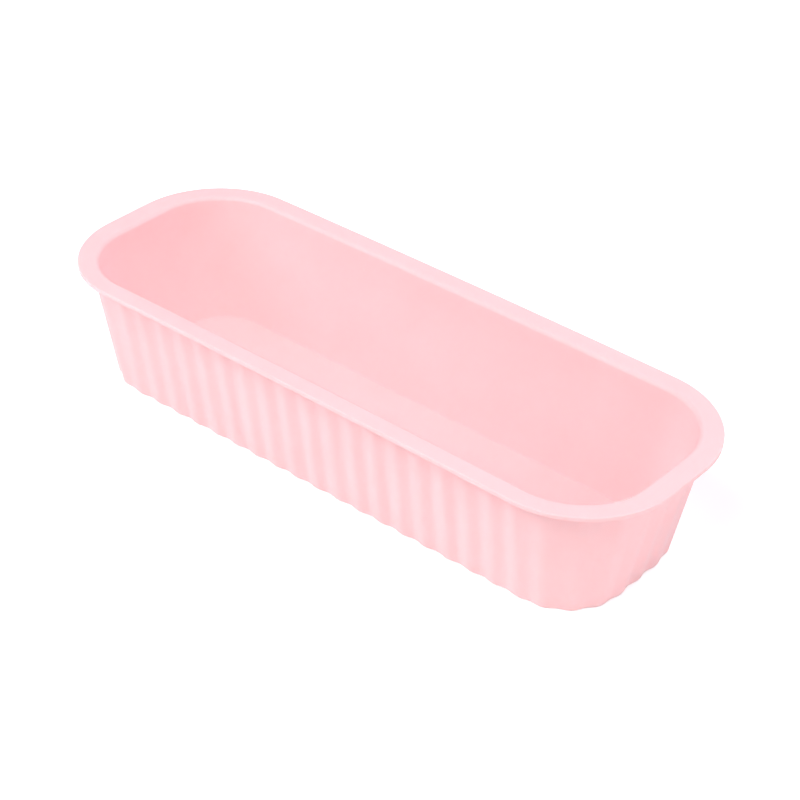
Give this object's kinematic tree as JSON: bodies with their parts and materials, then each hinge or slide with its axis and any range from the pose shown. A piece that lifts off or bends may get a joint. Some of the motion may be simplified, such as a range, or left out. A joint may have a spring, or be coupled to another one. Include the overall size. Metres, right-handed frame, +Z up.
{
  "type": "soap loaf mould",
  "caption": "Long flexible silicone loaf mould, open on top, with a flat rim, sloping walls with soft vertical flutes outside, large round corners and a smooth flat-floored cavity.",
  "frame": {"origin": "middle of the flat underside that the mould stands on", "axes": "+X along the length, +Y across the width, +Z up out of the open mouth"},
  "size_m": [0.282, 0.102, 0.054],
  "materials": {
    "silicone": "soft matt pale pink silicone"
  },
  "bodies": {
    "root": {"loaf_mould": "silicone"}
  },
  "joints": []
}
